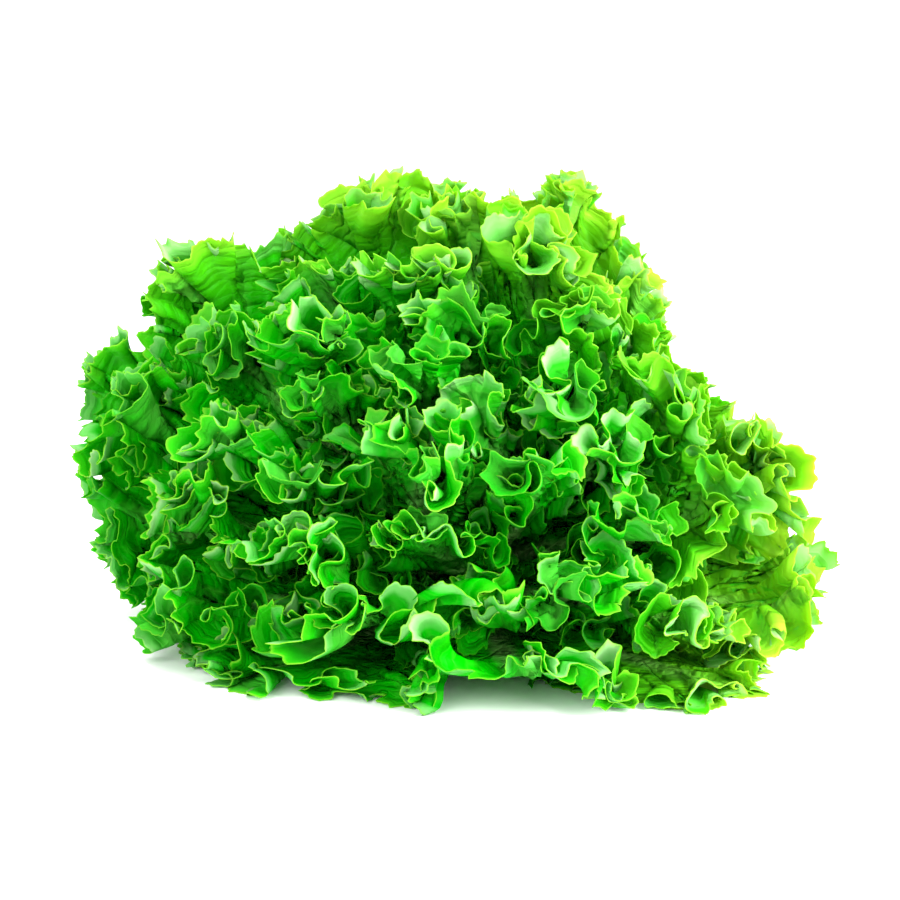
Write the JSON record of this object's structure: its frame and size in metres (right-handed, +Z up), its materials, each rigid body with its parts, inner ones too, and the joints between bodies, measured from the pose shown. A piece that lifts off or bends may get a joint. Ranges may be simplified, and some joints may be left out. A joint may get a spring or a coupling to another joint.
{
  "type": "leaf lettuce head",
  "caption": "Loose head of green leaf lettuce lying on its side, with frilled overlapping leaves round an open heart and a short cut stem at the back.",
  "frame": {"origin": "on the surface that the head lies on, under the middle of the head's box", "axes": "+X to the right as seen from the heart's side, along the head's width; +Y away from the viewer, to the cut stem; +Z up"},
  "size_m": [0.291, 0.1954, 0.1735],
  "materials": {
    "stem": "waxy, moist, cut flat at the end",
    "heart_leaf": "thin fresh leaf, satin",
    "inner_leaf": "thin fresh leaf, satin",
    "outer_leaf": "thin fresh leaf, satin"
  },
  "bodies": {
    "root": {"stem": "stem", "heart_leaf_01": "heart_leaf", "heart_leaf_02": "heart_leaf", "heart_leaf_03": "heart_leaf", "heart_leaf_04": "heart_leaf", "inner_leaf_05": "inner_leaf", "inner_leaf_06": "inner_leaf", "inner_leaf_07": "inner_leaf", "inner_leaf_08": "inner_leaf", "inner_leaf_09": "inner_leaf", "inner_leaf_10": "inner_leaf", "inner_leaf_11": "inner_leaf", "inner_leaf_12": "inner_leaf", "inner_leaf_13": "inner_leaf", "inner_leaf_14": "inner_leaf", "inner_leaf_15": "inner_leaf", "inner_leaf_16": "inner_leaf", "inner_leaf_17": "inner_leaf", "inner_leaf_18": "inner_leaf", "outer_leaf_19": "outer_leaf", "outer_leaf_20": "outer_leaf", "outer_leaf_21": "outer_leaf", "outer_leaf_22": "outer_leaf", "outer_leaf_23": "outer_leaf", "outer_leaf_24": "outer_leaf", "outer_leaf_25": "outer_leaf", "outer_leaf_26": "outer_leaf", "outer_leaf_27": "outer_leaf", "outer_leaf_28": "outer_leaf", "outer_leaf_29": "outer_leaf", "outer_leaf_30": "outer_leaf", "outer_leaf_31": "outer_leaf", "outer_leaf_32": "outer_leaf", "outer_leaf_33": "outer_leaf", "outer_leaf_34": "outer_leaf", "outer_leaf_35": "outer_leaf", "outer_leaf_36": "outer_leaf", "outer_leaf_37": "outer_leaf", "outer_leaf_38": "outer_leaf", "outer_leaf_39": "outer_leaf", "outer_leaf_40": "outer_leaf", "outer_leaf_41": "outer_leaf", "outer_leaf_42": "outer_leaf", "outer_leaf_43": "outer_leaf", "outer_leaf_44": "outer_leaf"}
  },
  "joints": []
}
